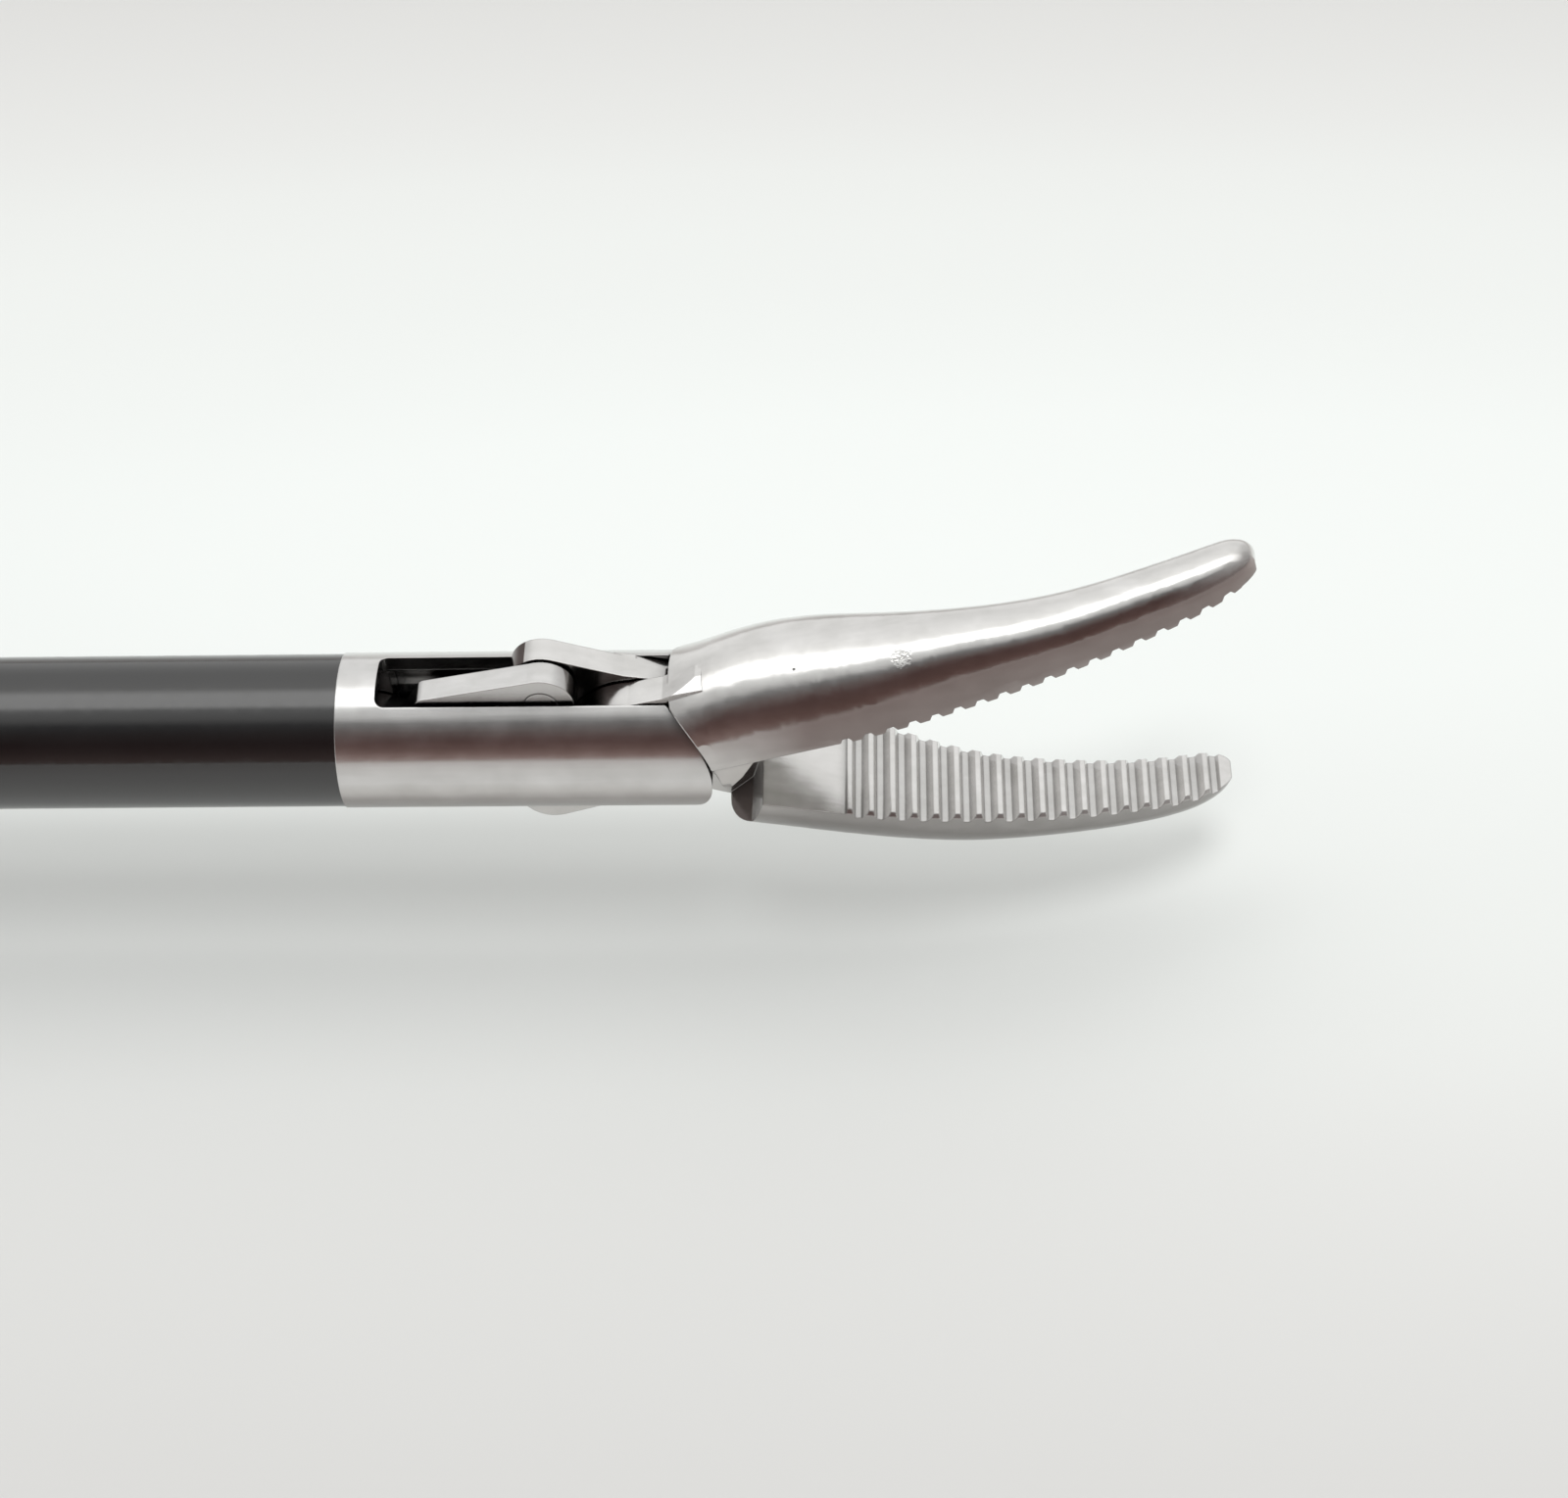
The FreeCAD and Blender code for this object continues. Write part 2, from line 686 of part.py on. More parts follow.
def loop(sketch, radius):
    """A long round outline about the finger opening."""
    middle, reach = -size("finger_x"), size("finger_reach")
    high, low = -size("finger_y") + reach, -size("finger_y") - reach
    for y, way in ((high, 1), (low, -1)):
        spots = (V(middle - way * radius, y, 0), V(middle, y + way * radius, 0), V(middle + way * radius, y, 0))
        sketch.addGeometry(Part.Arc(*spots), False)
    for side in (-1, 1):
        x = middle + side * radius
        sketch.addGeometry(Part.LineSegment(V(x, high, 0), V(x, low, 0)), False)
    return sketch


def rim_chamfer(body, width, heights, reach=0.02):
    """Bevel the outer rims that lie at the given heights."""
    doc.recompute()
    base = body.Tip
    shape = base.Shape
    names = []
    for i, edge in enumerate(shape.Edges, start=1):
        box = edge.BoundBox
        for height in heights:
            if abs(box.ZMin - height) < reach and abs(box.ZMax - height) < reach:
                names.append("Edge%d" % i)
    bevel = body.newObject("PartDesign::Chamfer", body.Name + "_rim")
    bevel.Base = (base, names)
    bevel.Size = width
    body.Tip = bevel
    return bevel


def make_shell(label, up):
    """One half of the fixed handle, split on the plane of the shaft."""
    body = new_body(label, HANDLE)
    barrel, leg, ring = size("barrel_half"), size("leg_half"), size("ring_half")
    band = size("finger_hole") + size("ring_band")
    level(body, lambda s: rounded(s, BARREL), 0, up * barrel)
    rim_chamfer(body, 2.4, [up * barrel])
    level(body, lambda s: rounded(s, LEG), 0, up * leg)
    level(body, lambda s: loop(s, band), 0, up * ring)
    boss = size("boss_half")
    middle = -size("inlet_x")
    spots = [(middle - boss, 5.0, 0.5), (middle + boss, 5.0, 0.5)]
    spots += [(middle + boss, size("boss_top"), 1.0), (middle - boss, size("boss_top"), 1.0)]
    level(body, lambda s: rounded(s, spots), 0, up * boss)
    level(body, lambda s: loop(s, size("finger_hole")), -up, up * (ring + 3), cut=True)
    shell_rooms(body, up)
    shell_holes(body, up)
    return body


def shell_rooms(body, up):
    """Hollow for the rod, spool, lever root and hub collar."""
    inner = size("cavity_half")
    main = [(-10.5, inner), (-10.5, -inner), (-49.5, -inner), (-49.5, inner)]
    level(body, lambda s: polygon(s, main), -up, up * inner, cut=True)
    thin = size("lever_half") + size("play") * 3
    high, low = 3.0 - size("lever_drop"), -4.0 - size("lever_drop")
    front, rear = 8.0 - size("spool_x"), -11.0 - size("spool_x")
    slot = [(front, high), (front, low), (rear, low), (rear, high)]
    level(body, lambda s: polygon(s, slot), -up, up * thin, cut=True)
    play = size("play")
    neck = size("hub_neck_radius") + play * 3
    rooms = [
        (-1.0, size("collar_front") - play, neck),
        (size("collar_front") - play, size("collar_rear") + play, size("hub_collar_radius") + play * 2),
        (size("collar_rear"), size("hub_rear") + 2.5, neck),
    ]
    for front, rear, radius in rooms:
        sketch = flat(body, "YZ_Plane", -rear)
        circle(sketch, 0, 0, radius)
        pad(body, sketch, "%.4f" % (rear - front), flip=True, cut=True)


def shell_holes(body, up):
    """Pin, inlet and screw holes."""
    pin = size("lever_pin_radius") + size("press")
    spot = (-size("spool_x"), -size("lever_drop"))
    level(body, lambda s: circle(s, *spot, pin), 0, up * size("lever_pin_half"), cut=True)
    inlet = flat(body, "XZ_Plane", -size("boss_top") - 1)
    circle(inlet, -size("inlet_x"), 0, size("inlet_seat_radius") + size("press"))
    pad(body, inlet, "boss_top - 1", flip=True, cut=True)
    for x, y, rim in SCREWS.values():
        shank = size("screw_shank") + size("press")
        depth = size(rim) - size("screw_recess")
        if up > 0:
            level(body, lambda s: circle(s, x, y, shank), 0, depth, cut=True)
        else:
            level(body, lambda s: circle(s, x, y, shank), 0, -size(rim), cut=True)
            head = size("screw_head") + size("play")
            level(body, lambda s: circle(s, x, y, head), -depth, -size(rim) - 1, cut=True)


def make_screw(label):
    """A cross-recess screw let into the right shell."""
    x, y, rim = SCREWS[label]
    depth = size(rim) - size("screw_recess")
    body = new_body(label, HANDLE)
    level(body, lambda s: circle(s, x, y, size("screw_shank"), "screw_shank"), -depth, depth)
    top = -depth - 1.4
    level(body, lambda s: circle(s, x, y, size("screw_head"), "screw_head"), top, -depth)
    for wide, tall in ((0.35, 1.5), (1.5, 0.35)):
        slot = [(x - wide, y - tall), (x + wide, y - tall), (x + wide, y + tall), (x - wide, y + tall)]
        level(body, lambda s: polygon(s, slot), top - 0.5, top + 0.8, cut=True)
    return body


def make_lever():
    """Moulded thumb lever with its ring."""
    body = new_body("thumb_lever", HANDLE)
    thin, ring = size("lever_half"), size("ring_half")
    pivot = (-size("spool_x"), -size("lever_drop"))
    thumb = (-size("thumb_x"), -size("thumb_y"))
    arm = [
        (-30.4, -8.0, 0.5),
        (-32.5, -30.0, 14.0),
        (-51.0, -55.0, 1.0),
        (-70.5, -55.0, 1.0),
        (-45.0, -26.0, 16.0),
        (-38.6, -8.0, 0.5),
    ]
    level(body, lambda s: rounded(s, arm), -thin, thin)
    level(body, lambda s: circle(s, *pivot, size("lever_hub_radius")), -thin, thin)
    band = size("thumb_hole") + size("ring_band")
    level(body, lambda s: circle(s, *thumb, band), -ring, ring)
    rim_chamfer(body, 1.6, [ring, -ring])
    level(body, lambda s: circle(s, *thumb, size("thumb_hole")), -ring - 1, ring + 1, cut=True)
    pin = size("lever_pin_radius") + size("play") / 2
    level(body, lambda s: circle(s, *pivot, pin), -thin - 1, thin + 1, cut=True)
    half = size("fork_arm_half") + size("press")
    seat = [(pivot[0] - half, -5.9), (pivot[0] + half, -5.9), (pivot[0] + half, 0), (pivot[0] - half, 0)]
    level(body, lambda s: polygon(s, seat), -thin - 1, thin + 1, cut=True)
    return body


def make_lever_fork():
    """Steel fork pressed into the lever; its round tips sit in the spool."""
    body = new_body("lever_fork", HANDLE)
    middle, half = -size("spool_x"), size("fork_arm_half")
    thin, low = size("lever_half"), -5.9 + size("press")
    stem = [(half, low), (half, -3.9), (half - 0.45, -3.5), (half - 0.45, 0)]
    right = [(middle + x, y) for x, y in stem]
    left = [(middle - x, y) for x, y in reversed(stem)]
    level(body, lambda s: polygon(s, right + left), -thin, thin)
    level(body, lambda s: circle(s, middle, 0, half, "fork_arm_half"), -thin, thin)
    neck = size("fork_neck_half")
    gap = [(middle - 3, -neck - 0.3), (middle + 3, -neck - 0.3), (middle + 3, 3), (middle - 3, 3)]
    level(body, lambda s: polygon(s, gap), -neck, neck, cut=True)
    return body


def make_contacts():
    """Current inlet pin and the block that rides on the rod."""
    middle = -size("inlet_x")
    inlet = new_body("hf_pin", FreeCAD.Placement(V(HANDLE_X + middle, 0, 0), FreeCAD.Rotation(V(0, 0, 1), 90)))
    radius, top = size("inlet_radius"), size("inlet_top")
    seat = size("inlet_seat_radius")
    corners = [
        (size("inlet_base"), 0.0),
        (size("inlet_base"), seat),
        (size("boss_top"), seat),
        (size("boss_top"), radius),
        (top - 1.0, radius),
        (top - 0.2, radius - 0.5),
        (top, radius - 1.1),
        (top, 0.0),
    ]
    revolve(inlet, polygon(flat(inlet, "XY_Plane"), corners))
    block = new_body("rod_contact", HANDLE)
    half = size("contact_half")
    high = size("inlet_base") - size("press")
    spots = [(middle - half, -half), (middle + half, -half), (middle + half, high), (middle - half, high)]
    level(block, lambda s: polygon(s, spots), -half, half)
    bore = flat(block, "YZ_Plane", middle - half - 1)
    circle(bore, 0, 0, size("rod_radius") + size("play"))
    pad(block, bore, "contact_half * 2 + 2", flip=True, cut=True)


make_jaw("jaw_upper", 1)
make_jaw("jaw_lower", -1)
hinge_pin = cross_pin("jaw_pivot_pin", 0, 0, "pivot_pin_radius", -size("pin_blind"), size("shaft_radius"))
outside_trim(hinge_pin, "shaft_radius", -1.0, 1.0)
make_clevis()
for name, way in (("link_upper", 1), ("link_lower", -1)):
    make_link(name, way)
for name, way in (("elbow_pin_upper", 1), ("elbow_pin_lower", -1)):
    faces = sorted((way * size("tang_outer"), -way * size("link_outer")))
    cross_pin(name, ELBOW_REST[0], way * ELBOW_REST[1], "elbow_pin_radius", *faces)
make_fork()
rod_pin_half = size("fork_radius") - 0.1
cross_pin("rod_pin", ROD_EYE[0], 0, "rod_pin_radius", -rod_pin_half, rod_pin_half)
make_shaft_line()
make_hub()
make_knob()
make_spool()
make_shell("handle_shell_left", 1)
make_shell("handle_shell_right", -1)
make_lever()
make_lever_fork()
pin_half = size("lever_pin_half") - size("press")
pin_body = new_body("lever_pivot_pin", HANDLE)
pin_draw = lambda s: circle(s, -size("spool_x"), -size("lever_drop"), size("lever_pin_radius"), "lever_pin_radius")
level(pin_body, pin_draw, -pin_half, pin_half)
make_contacts()
for name in SCREWS:
    make_screw(name)
doc.recompute()

os.makedirs("parts", exist_ok=True)
for thing in doc.Objects:
    if "Invalid" in thing.State or "Error" in thing.State:
        raise RuntimeError("%s did not rebuild" % thing.Name)
for body in [o for o in doc.Objects if o.TypeId == "PartDesign::Body"]:
    shape = body.Shape
    if shape.isNull() or not shape.isValid() or shape.Volume <= 0:
        raise RuntimeError("%s has no good shape" % body.Label)
    shape.exportStep("parts/%s.step" % body.Label)
    print(body.Label, len(shape.Solids), round(shape.Volume, 3))
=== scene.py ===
import math

import bpy
from mathutils import Matrix, Vector


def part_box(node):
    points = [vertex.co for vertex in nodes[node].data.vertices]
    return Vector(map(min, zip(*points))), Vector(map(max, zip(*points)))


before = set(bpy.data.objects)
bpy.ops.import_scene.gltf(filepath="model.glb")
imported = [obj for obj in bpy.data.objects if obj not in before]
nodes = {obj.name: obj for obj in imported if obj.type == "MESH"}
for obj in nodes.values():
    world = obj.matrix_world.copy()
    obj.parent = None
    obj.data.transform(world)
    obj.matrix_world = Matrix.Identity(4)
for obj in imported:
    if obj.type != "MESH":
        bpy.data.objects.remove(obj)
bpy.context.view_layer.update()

MM = 0.001

# The photograph's frame and viewpoint.
IMAGE_WIDTH = 1600.0
PIXELS_PER_MM = 31.8
CAMERA_DISTANCE = 100.0 * MM
CAMERA_AZIMUTH = math.radians(3.0)
CAMERA_ELEVATION = math.radians(49.0)
CAMERA_ROLL = math.radians(-2.75)
JAW_PIVOT = Vector((310.0, 0.0, 0.0)) * MM
LOOK_OFFSET = Vector((4.72, -0.551, -0.475)) * MM
SENSOR = 36.0


def make_camera():
    """The camera stands where the photograph was taken from."""
    az, el = CAMERA_AZIMUTH, CAMERA_ELEVATION
    back = Vector((math.sin(az) * math.cos(el), -math.cos(az) * math.cos(el), math.sin(el)))
    right = Vector((math.cos(az), math.sin(az), 0.0))
    up = back.cross(right)
    cos, sin = math.cos(CAMERA_ROLL), math.sin(CAMERA_ROLL)
    across, above = right * cos + up * sin, up * cos - right * sin
    turn = Matrix((across, above, back)).transposed().to_4x4()
    data = bpy.data.cameras.new("photo_camera")
    data.sensor_width = SENSOR
    focal_pixels = PIXELS_PER_MM * CAMERA_DISTANCE / MM
    data.lens = SENSOR * focal_pixels / IMAGE_WIDTH
    data.clip_start = 0.005
    data.clip_end = 20.0
    camera = bpy.data.objects.new("photo_camera", data)
    place = JAW_PIVOT + LOOK_OFFSET + back * CAMERA_DISTANCE
    camera.matrix_world = Matrix.Translation(place) @ turn
    bpy.context.scene.collection.objects.link(camera)
    bpy.context.scene.camera = camera


class Tree:
    """A small helper that adds and joins shader nodes."""

    def __init__(self, owner):
        owner.use_nodes = True
        self.tree = owner.node_tree
        self.tree.nodes.clear()

    def add(self, kind, **values):
        node = self.tree.nodes.new("ShaderNode" + kind)
        for key, value in values.items():
            setattr(node, key, value)
        return node

    def join(self, source, target):
        self.tree.links.new(source, target)

    def math(self, operation, first, second=None, clamp=False):
        node = self.add("Math", operation=operation, use_clamp=clamp)
        for socket, value in zip(node.inputs, (first, second)):
            if value is None:
                continue
            if isinstance(value, (int, float)):
                socket.default_value = value
            else:
                self.join(value, socket)
        return node.outputs[0]

    def scaled(self, value, factor, shift):
        """value x factor + shift, where the shift may be a socket."""
        result = self.math("MULTIPLY_ADD", value, factor)
        last = result.node.inputs[2]
        if isinstance(shift, (int, float)):
            last.default_value = shift
        else:
            self.join(shift, last)
        return result

    def parts(self, output):
        """The x, y and z of one output of the texture coordinates."""
        split = self.add("SeparateXYZ")
        self.join(self.add("TexCoord").outputs[output], split.inputs[0])
        return split.outputs

    def mix(self, first, second, factor=1.0, blend="MIX"):
        """Blend two colours; each may be a socket or a plain colour."""
        node = self.add("Mix", data_type="RGBA", blend_type=blend)
        for name, value in (("Factor", factor), ("A", first), ("B", second)):
            if isinstance(value, (float, tuple)):
                node.inputs[name].default_value = value
            else:
                self.join(value, node.inputs[name])
        return node.outputs["Result"]

    def multiply(self, first, second):
        return self.mix(first, second, blend="MULTIPLY")

    def ramp(self, source, stops):
        node = self.add("ValToRGB")
        ramp = node.color_ramp
        ramp.interpolation = "LINEAR"
        while len(ramp.elements) > 1:
            ramp.elements.remove(ramp.elements[-1])
        for i, (place, colour) in enumerate(stops):
            if isinstance(colour, (int, float)):
                colour = (colour, colour, colour)
            stop = ramp.elements[0] if i == 0 else ramp.elements.new(place)
            stop.position = place
            stop.color = (*colour, 1.0)
        self.join(source, node.inputs[0])
        return node.outputs[0]

    def noise(self, scale, detail=3.0, rough=0.5, stretch=None):
        coords = self.add("TexCoord").outputs["Object"]
        if stretch:
            mapping = self.add("Mapping")
            mapping.inputs["Scale"].default_value = stretch
            self.join(coords, mapping.inputs["Vector"])
            coords = mapping.outputs[0]
        node = self.add("TexNoise")
        node.inputs["Scale"].default_value = scale
        node.inputs["Detail"].default_value = detail
        node.inputs["Roughness"].default_value = rough
        self.join(coords, node.inputs["Vector"])
        return node.outputs["Fac"]

    def shade(self, colour, reach, depth, amount):
        """Paint shade into a colour in narrow gaps and grooves."""
        node = self.add("AmbientOcclusion", samples=8)
        if isinstance(reach, float):
            node.inputs["Distance"].default_value = reach
        else:
            self.join(reach, node.inputs["Distance"])
        power = self.math("POWER", node.outputs["AO"], depth)
        return self.multiply(colour, self.scaled(power, amount, 1.0 - amount))

    def surface(self, colour, roughness, metallic=0.0, bump=None, bevel=0.0, **sockets):
        shader = self.add("BsdfPrincipled")
        for name, value in (("Base Color", colour), ("Roughness", roughness)):
            if isinstance(value, (int, float, tuple)):
                shader.inputs[name].default_value = value
            else:
                self.join(value, shader.inputs[name])
        shader.inputs["Metallic"].default_value = metallic
        for name, value in sockets.items():
            shader.inputs[name.replace("_", " ")].default_value = value
        normal = None
        if bevel:
            edge = self.add("Bevel", samples=6)
            edge.inputs["Radius"].default_value = bevel
            normal = edge.outputs[0]
        if bump:
            height, strength, distance = bump
            node = self.add("Bump")
            node.inputs["Strength"].default_value = strength
            node.inputs["Distance"].default_value = distance
            self.join(height, node.inputs["Height"])
            if normal:
                self.join(normal, node.inputs["Normal"])
            normal = node.outputs[0]
        if normal:
            self.join(normal, shader.inputs["Normal"])
        out = self.add("OutputMaterial")
        self.join(shader.outputs[0], out.inputs["Surface"])
        return shader


# In metres along the shaft: where gaps stop being deep, where the painted
# shade on the flank sets in and over what length, and where the lower jaw's recess ends.
SLOT_END = 0.3142
FLANK_START = 0.3115
FLANK_BLEND = 0.004
RECESS_END = 0.3155
# How far around a spot the painted gap shade reaches, in the slot and between the teeth.
SLOT_REACH = 0.0015
TOOTH_REACH = 0.0003
# Colour of the painted shade on the lower jaw's recess wall.
RECESS_SHADE = (0.17, 0.14, 0.135)
WHITE = (1.0, 1.0, 1.0, 1.0)
# Places of the small nick and the pit on the upper jaw, with their radii.
NICK = ((0.318502, -0.000964, 0.004305), 0.00034)
PIT = ((0.315159, -0.000855, 0.003651), 0.00006)
NICK_DEPTH = -45.0
RAGGED_SCALE = 9000.0
# Steel: cloud and grain sizes, the stretch of the polish and its relief.
CLOUD_SCALE = 900.0
GRAIN_SCALE = 2500.0
POLISH_STRETCH = (0.06, 1.0, 1.0)
POLISH_RELIEF = (0.12, 0.00002)
EDGE_SOFTNESS = 0.00006
# Painted shade on steel by how far its surface faces up: undersides are painted darker.
UNDERSIDE_SHADE = [
    (-1.0, (0.42, 0.4, 0.39)),
    (-0.25, (0.55, 0.52, 0.51)),
    (-0.06, (0.84, 0.82, 0.81)),
    (0.1, 1.0),
    (1.0, 1.0),
]
# The same painted shade for the near flank of each jaw.
LOWER_FLANK_SHADE = [
    (-1.0, 0.6),
    (-0.1, 0.62),
    (0.3, (0.66, 0.64, 0.63)),
    (0.75, 1.0),
    (1.0, 1.0),
]
UPPER_FLANK_SHADE = [
    (-1.0, 0.9),
    (-0.12, 0.9),
    (0.02, (0.6, 0.57, 0.56)),
    (0.14, (0.36, 0.31, 0.3)),
    (0.35, (0.4, 0.34, 0.33)),
    (0.5, (0.52, 0.46, 0.45)),
    (0.7, 1.0),
    (1.0, 1.0),
]


def mark(tree, spot):
    """One inside a small ragged mark on the surface, zero outside it."""
    centre, radius = spot
    gap = tree.add("VectorMath", operation="DISTANCE")
    tree.join(tree.add("TexCoord").outputs["Object"], gap.inputs[0])
    gap.inputs[1].default_value = centre
    ragged = tree.scaled(tree.noise(RAGGED_SCALE, 2.0), radius, -radius / 2)
    reach = tree.math("ADD", gap.outputs["Value"], ragged)
    return tree.math("SUBTRACT", 1.0, tree.math("DIVIDE", reach, radius), clamp=True)


def painted_shade_by_facing(tree, table):
    """Painted shade by the upward part of the surface's direction."""
    half = tree.scaled(tree.parts("Normal")["Z"], 0.5, 0.5)
    return tree.ramp(half, [((z + 1.0) / 2.0, colour) for z, colour in table])


def flank_painted_shade(tree, table):
    """Painted shade on the near flank of a jaw, which fades in from the root."""
    past_root = tree.math("SUBTRACT", tree.parts("Object")["X"], FLANK_START)
    along = tree.math("DIVIDE", past_root, FLANK_BLEND, clamp=True)
    near = tree.math("LESS_THAN", tree.parts("Normal")["Y"], -0.2)
    return tree.mix(WHITE, painted_shade_by_facing(tree, table), tree.math("MULTIPLY", along, near))


def recess_painted_shade(tree):
    """Painted shade on the rear wall of the lower jaw's face, which lies in the dark behind the
    cheek.
    """
    rear = tree.math("LESS_THAN", tree.parts("Normal")["X"], -0.5)
    root = tree.math("LESS_THAN", tree.parts("Object")["X"], RECESS_END)
    wall = tree.math("MULTIPLY", rear, root)
    return tree.ramp(wall, [(0.0, 1.0), (1.0, RECESS_SHADE)])


def shade_reach(tree):
    """Long in the slot and at the root of a jaw, short between its teeth."""
    inside = tree.math("LESS_THAN", tree.parts("Object")["X"], SLOT_END)
    return tree.scaled(inside, SLOT_REACH - TOOTH_REACH, TOOTH_REACH)


def steel(name, low, high, rough_low, rough_high, gap_shade_amount=0.9, jaw=None):
    """Polished steel with cloudy tone, fine lengthwise polish, faint wear, and painted shade in gaps,
    on undersides and on the jaws' flanks and recess.
    """
    material = bpy.data.materials.new(name)
    tree = Tree(material)
    cloud = tree.noise(CLOUD_SCALE, 4.0)
    grain = tree.noise(GRAIN_SCALE, 3.0, 0.6, stretch=POLISH_STRETCH)
    mixed = tree.scaled(grain, 0.5, cloud)
    colour = tree.ramp(mixed, [(0.45, low), (1.0, high)])
    reach = shade_reach(tree) if jaw else SLOT_REACH
    # Painted shade in gaps and grooves: darker where little sky is seen.
    colour = tree.shade(colour, reach, 1.0 if jaw else 1.5, gap_shade_amount)
    # Painted shade on undersides.
    colour = tree.multiply(colour, painted_shade_by_facing(tree, UNDERSIDE_SHADE))
    height = grain
    if jaw == "lower":
        # Painted shade on the recess wall behind the cheek.
        colour = tree.multiply(colour, recess_painted_shade(tree))
        # Painted shade on the near flank.
        colour = tree.multiply(colour, flank_painted_shade(tree, LOWER_FLANK_SHADE))
    if jaw == "upper":
        pit = tree.ramp(mark(tree, PIT), [(0.0, 1.0), (0.4, 0.15)])
        colour = tree.multiply(colour, pit)
        # Painted shade on the near flank.
        colour = tree.multiply(colour, flank_painted_shade(tree, UPPER_FLANK_SHADE))
        height = tree.scaled(mark(tree, NICK), NICK_DEPTH, grain)
    rough = tree.ramp(mixed, [(0.4, rough_low), (1.1, rough_high)])
    relief = (height, *POLISH_RELIEF)
    tree.surface(colour, rough, metallic=1.0, bump=relief, bevel=EDGE_SOFTNESS)
    return material


PLASTIC_CLOUD_SCALE = 180.0
PLASTIC_RELIEF = 0.00006


def plastic(name, low, high, rough, bump_scale, bump_strength, **sockets):
    """Moulded plastic or rubber with a faint cloud and a fine grain."""
    material = bpy.data.materials.new(name)
    tree = Tree(material)
    cloud = tree.noise(PLASTIC_CLOUD_SCALE, 3.0)
    grain = tree.noise(bump_scale, 2.0)
    colour = tree.ramp(cloud, [(0.3, low), (0.7, high)])
    roughness = tree.ramp(grain, [(0.3, rough - 0.06), (0.7, rough + 0.06)])
    tree.surface(colour, roughness, bump=(grain, bump_strength, PLASTIC_RELIEF), **sockets)
    return material


# Dark and light tone of each finish.
JAW_TONES = (0.66, 0.65, 0.635), (0.8, 0.79, 0.78)
SATIN_TONES = (0.62, 0.61, 0.6), (0.76, 0.755, 0.75)
SLEEVE_TONES = (0.003, 0.003, 0.0035), (0.006, 0.006, 0.0065)
MOULDED_TONES = (0.012, 0.0125, 0.014), (0.02, 0.021, 0.023)
RUBBER_TONES = (0.02, 0.02, 0.02), (0.03, 0.03, 0.03)
BRASS_TONES = (0.55, 0.4, 0.16), (0.66, 0.5, 0.22)
PLATED_TONES = (0.7, 0.7, 0.71), (0.8, 0.8, 0.81)
MOULDED_NODES = ("rotation_knob", "handle_shell_left", "handle_shell_right", "thumb_lever")


def paint():
    """Every solid gets its own finish."""
    upper = steel("upper_jaw_polish", *JAW_TONES, 0.11, 0.2, jaw="upper")
    lower = steel("lower_jaw_polish", *JAW_TONES, 0.14, 0.24, gap_shade_amount=0.85, jaw="lower")
    satin = steel("clevis_satin", *SATIN_TONES, 0.12, 0.24)
    sleeve = plastic("sleeve_black", *SLEEVE_TONES, 0.12, 2200.0, 0.03, IOR=1.85)
    moulded = plastic("moulded_black", *MOULDED_TONES, 0.5, 2600.0, 0.3)
    rubber = plastic("seal_black", *RUBBER_TONES, 0.65, 1500.0, 0.2)
    brass = steel("contact_brass", *BRASS_TONES, 0.2, 0.35)
    plated = steel("pin_plating", *PLATED_TONES, 0.08, 0.16)
    special = {
        "jaw_upper": upper,
        "jaw_lower": lower,
        "insulation_sleeve": sleeve,
        "rod_seal": rubber,
        "hub_o_ring": rubber,
        "rod_contact": brass,
        "hf_pin": plated,
    }
    special.update({name: moulded for name in MOULDED_NODES})
    for name, thing in nodes.items():
        thing.data.materials.clear()
        thing.data.materials.append(special.get(name, satin))


# Low enough for the wide open lower jaw to stay above the floor.
FLOOR_DROP = 0.0008
FLOOR_Z = min(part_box(name)[0][2] for name in nodes) - FLOOR_DROP
FLOOR_HALF = 3.0
# Painted light on the floor: its colour by distance from the middle of a painted bright pool, in
# metres.
FLOOR_PAINTED_LIGHT = [
    (0.0, (0.82, 0.85, 0.835)),
    (0.008, (0.81, 0.84, 0.825)),
    (0.014, (0.78, 0.805, 0.79)),
    (0.022, (0.765, 0.785, 0.77)),
    (0.028, (0.72, 0.727, 0.715)),
    (0.041, (0.64, 0.64, 0.63)),
    (0.07, (0.575, 0.565, 0.555)),
    (0.12, (0.53, 0.515, 0.505)),
    (0.3, (0.56, 0.55, 0.54)),
    (1.0, (0.62, 0.615, 0.61)),
]
PAINTED_LIGHT_CENTRE = (0.322, 0.018)
# The painted pool of light is four times as long along the shaft as across it.
STRETCH = 0.25


def ramp_by(tree, value, table):
    """A colour ramp over a length in metres."""
    reach = table[-1][0]
    share = tree.math("DIVIDE", value, reach, clamp=True)
    return tree.ramp(share, [(place / reach, colour) for place, colour in table])


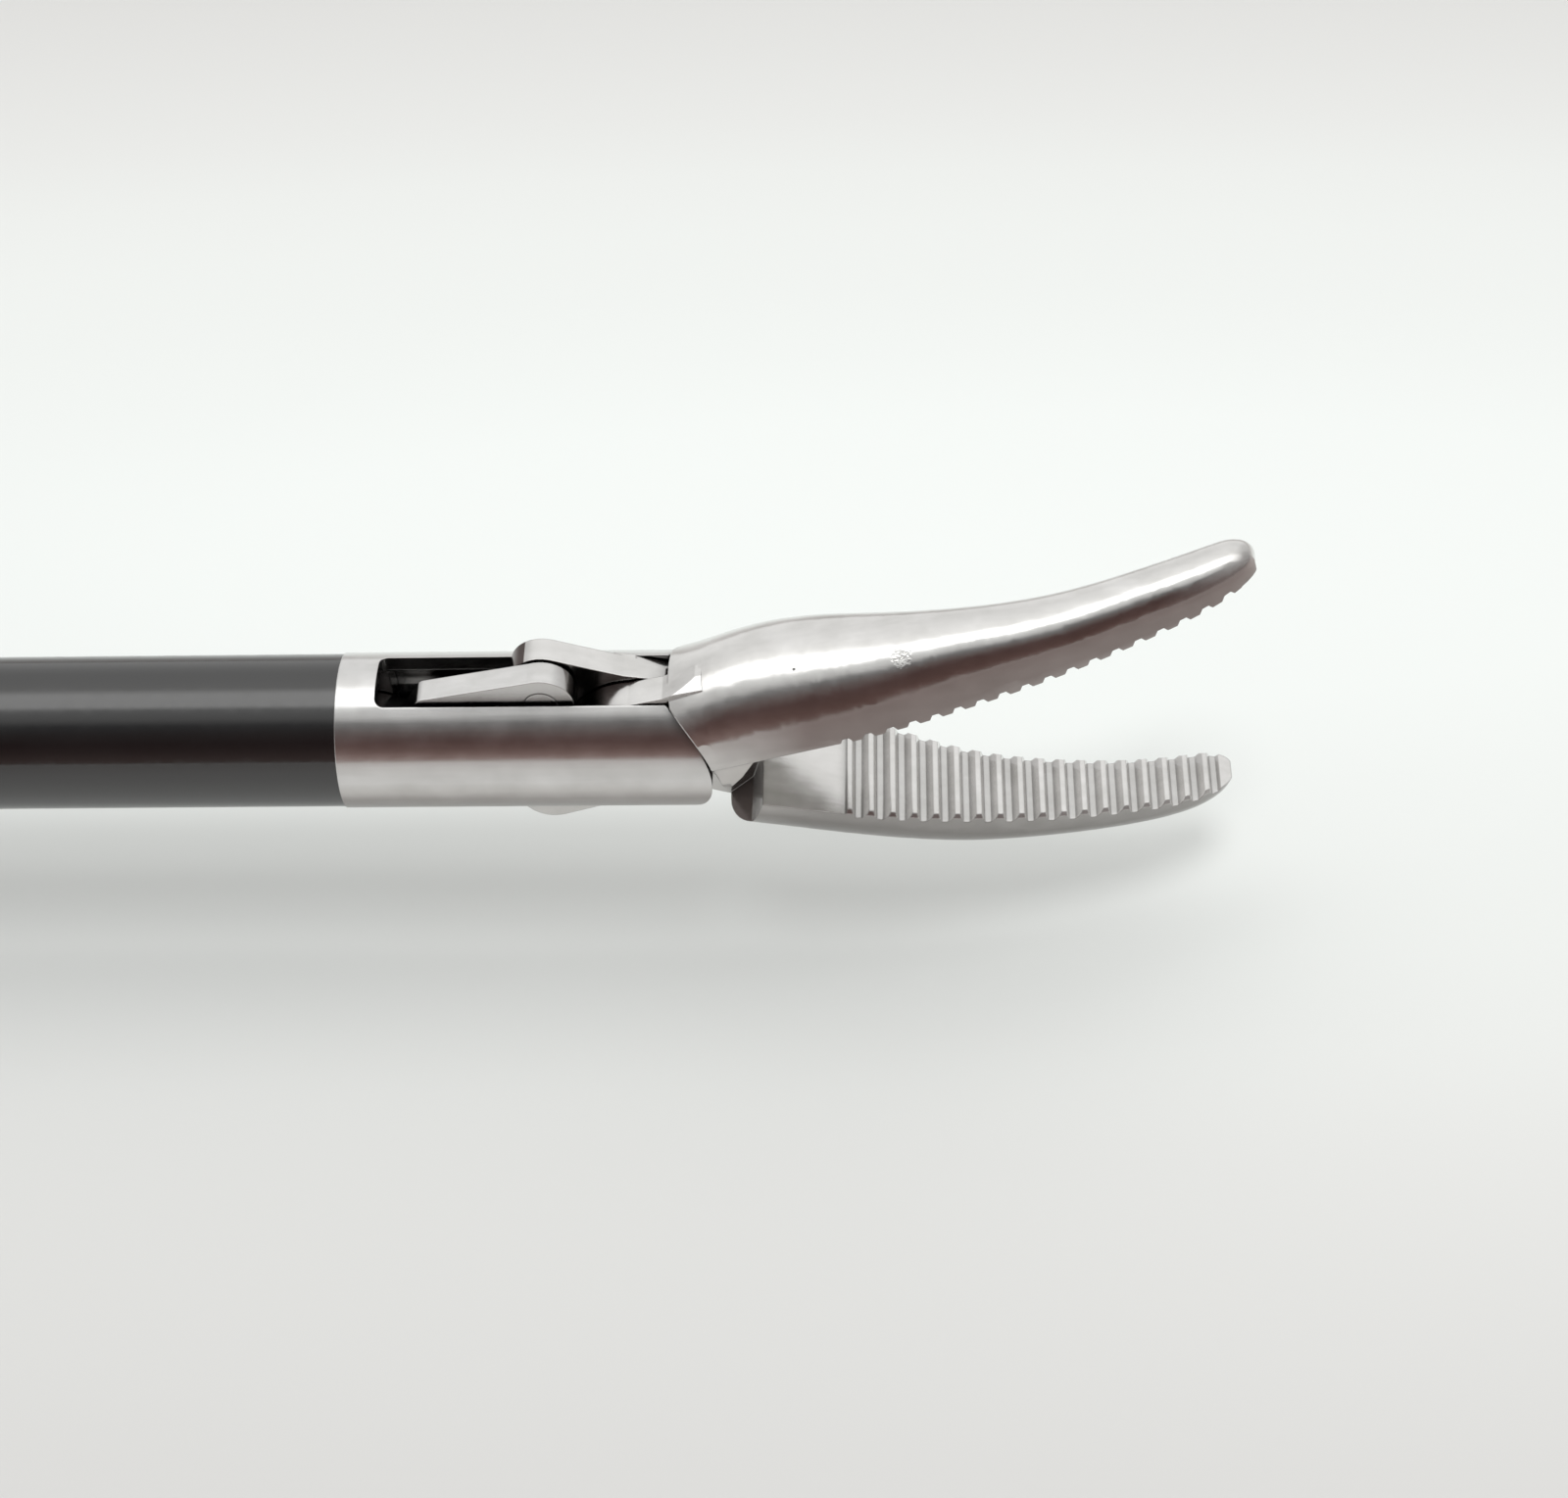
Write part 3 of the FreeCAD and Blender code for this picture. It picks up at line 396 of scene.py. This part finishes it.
def make_floor():
    """A pale floor with a painted pool of light, brightest behind the jaws."""
    mesh = bpy.data.meshes.new("floor")
    half = FLOOR_HALF
    corners = [(-half, -half, 0), (half, -half, 0), (half, half, 0), (-half, half, 0)]
    mesh.from_pydata(corners, [], [(0, 1, 2, 3)])
    floor = bpy.data.objects.new("floor", mesh)
    floor.location = (0.2, 0.0, FLOOR_Z)
    bpy.context.scene.collection.objects.link(floor)
    material = bpy.data.materials.new("floor")
    tree = Tree(material)
    split = tree.add("SeparateXYZ")
    tree.join(tree.add("NewGeometry").outputs["Position"], split.inputs[0])
    along = tree.math("SUBTRACT", split.outputs["X"], PAINTED_LIGHT_CENTRE[0])
    along = tree.math("MULTIPLY", along, STRETCH)
    away = tree.math("SUBTRACT", split.outputs["Y"], PAINTED_LIGHT_CENTRE[1])
    squares = tree.math("ADD", tree.math("MULTIPLY", along, along), tree.math("MULTIPLY", away, away))
    # Painted light: the floor's colour falls off with distance from the pool's centre.
    painted_light = ramp_by(tree, tree.math("SQRT", squares), FLOOR_PAINTED_LIGHT)
    tree.surface(painted_light, 0.8, Specular_IOR_Level=0.0)
    mesh.materials.append(material)


# Sky brightness by angle from straight up, turning towards the viewer, in degrees.
SKY = [
    (-180, (0.6, 0.59, 0.58)),
    (-95, (0.98, 0.98, 0.97)),
    (-57, (0.88, 0.88, 0.87)),
    (-41, (0.98, 0.98, 0.97)),
    (-26, (1.12, 1.12, 1.1)),
    (-16, (2.1, 2.1, 2.08)),
    (3, (2.1, 2.1, 2.08)),
    (9, (0.86, 0.87, 0.86)),
    (24, (0.6, 0.6, 0.59)),
    (33, (0.2, 0.2, 0.2)),
    (46, (0.13, 0.105, 0.1)),
    (60, (0.1, 0.06, 0.056)),
    (72, (0.145, 0.092, 0.083)),
    (84, (0.25, 0.17, 0.155)),
    (96, (0.4, 0.34, 0.31)),
    (180, (0.6, 0.59, 0.58)),
]


# Past the ends of the instrument the room turns to one plain grey.
ROOM_ENDS = [(0.45, 0.0), (0.75, 0.6), (0.92, 1.0)]
ROOM_GREY = (0.42, 0.41, 0.405, 1.0)


def make_sky():
    """A broad soft box above, a pale room behind and a dark room in front."""
    world = bpy.data.worlds.new("studio")
    bpy.context.scene.world = world
    tree = Tree(world)
    way = tree.parts("Generated")
    angle = tree.math("ARCTAN2", tree.math("MULTIPLY", way["Y"], -1.0), way["Z"])
    turn = tree.scaled(angle, 0.5 / math.pi, 0.5)
    colour = tree.ramp(turn, [((degrees + 180.0) / 360.0, tone) for degrees, tone in SKY])
    ends = tree.ramp(tree.math("ABSOLUTE", way["X"]), ROOM_ENDS)
    sky = tree.add("Background")
    tree.join(tree.mix(colour, ROOM_GREY, ends), sky.inputs["Color"])
    out = tree.add("OutputWorld")
    tree.join(sky.outputs[0], out.inputs["Surface"])


LAMP_PLACE = Vector((0.3, -0.44, 1.37))
LAMP_TARGET = Vector((0.16, 0.0, 0.0))
LAMP_WIDTH = 0.42
LAMP_WATTS = 6.4


def make_lamp():
    """One soft lamp above and in front, for the shadow under the instrument."""
    data = bpy.data.lights.new("soft_top", "AREA")
    data.shape = "DISK"
    data.size = LAMP_WIDTH
    data.energy = LAMP_WATTS
    lamp = bpy.data.objects.new("soft_top", data)
    lamp.location = LAMP_PLACE
    lamp.rotation_euler = (LAMP_TARGET - LAMP_PLACE).to_track_quat("-Z", "Y").to_euler()
    lamp.visible_glossy = False
    bpy.context.scene.collection.objects.link(lamp)


make_camera()
paint()
make_floor()
make_sky()
make_lamp()
bpy.context.scene.view_settings.view_transform = "Standard"
